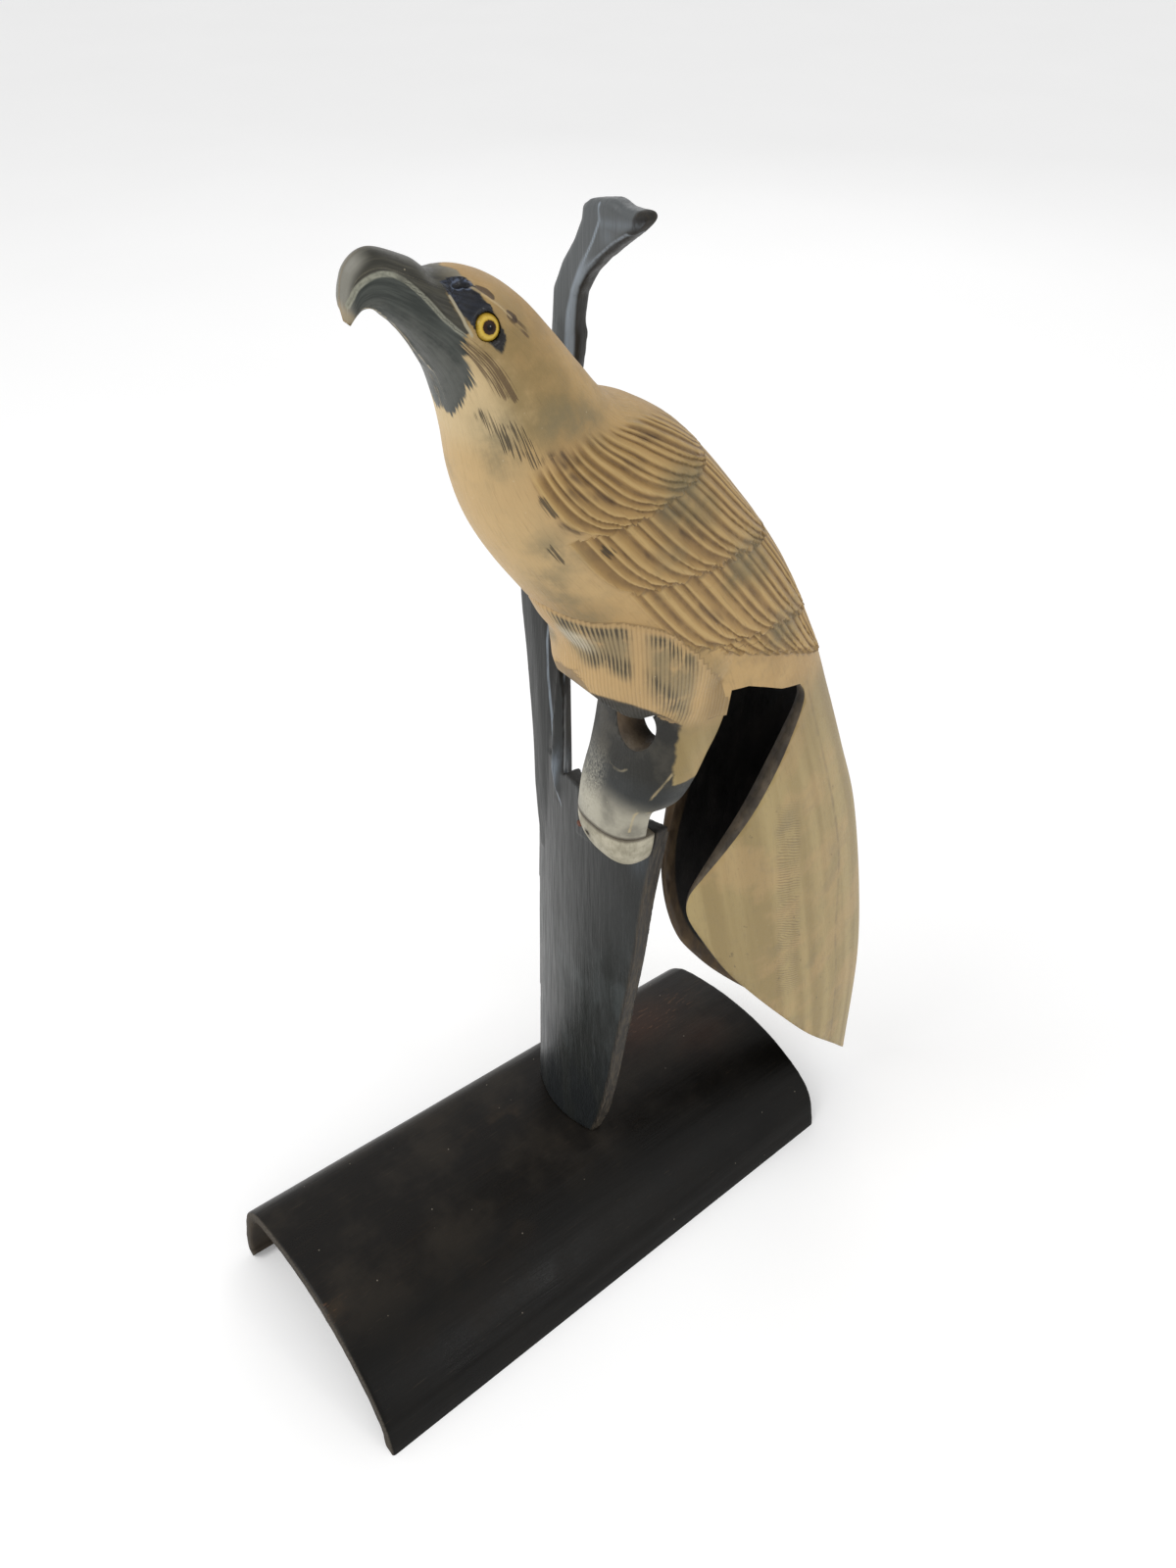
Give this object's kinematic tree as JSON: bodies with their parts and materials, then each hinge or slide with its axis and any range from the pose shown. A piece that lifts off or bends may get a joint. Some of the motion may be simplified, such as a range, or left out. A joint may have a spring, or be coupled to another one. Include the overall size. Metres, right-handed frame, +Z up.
{
  "type": "carved bird figure",
  "caption": "Hollow carved-horn bird of prey with feathered wings and glass eyes, perched beside a hooked dark horn branch on an arched black horn plinth.",
  "frame": {"origin": "middle of the figure's footprint on the floor it stands on", "axes": "+Z up, +X towards the beak, +Y to the bird's left"},
  "size_m": [0.3012, 0.1296, 0.4732],
  "materials": {
    "black_horn": null,
    "dark_horn": null,
    "tan_horn": null,
    "grey_horn": null,
    "glass_eye": "clear glass dome over a yellow iris and a dark pupil",
    "rusted_iron": "rusted iron pin end"
  },
  "bodies": {
    "root": {"base_plate": "black_horn", "branch": "dark_horn", "bird": "tan_horn", "toe_piece": "grey_horn", "eye_left": "glass_eye", "eye_right": "glass_eye", "rusty_pin": "rusted_iron"}
  },
  "joints": []
}
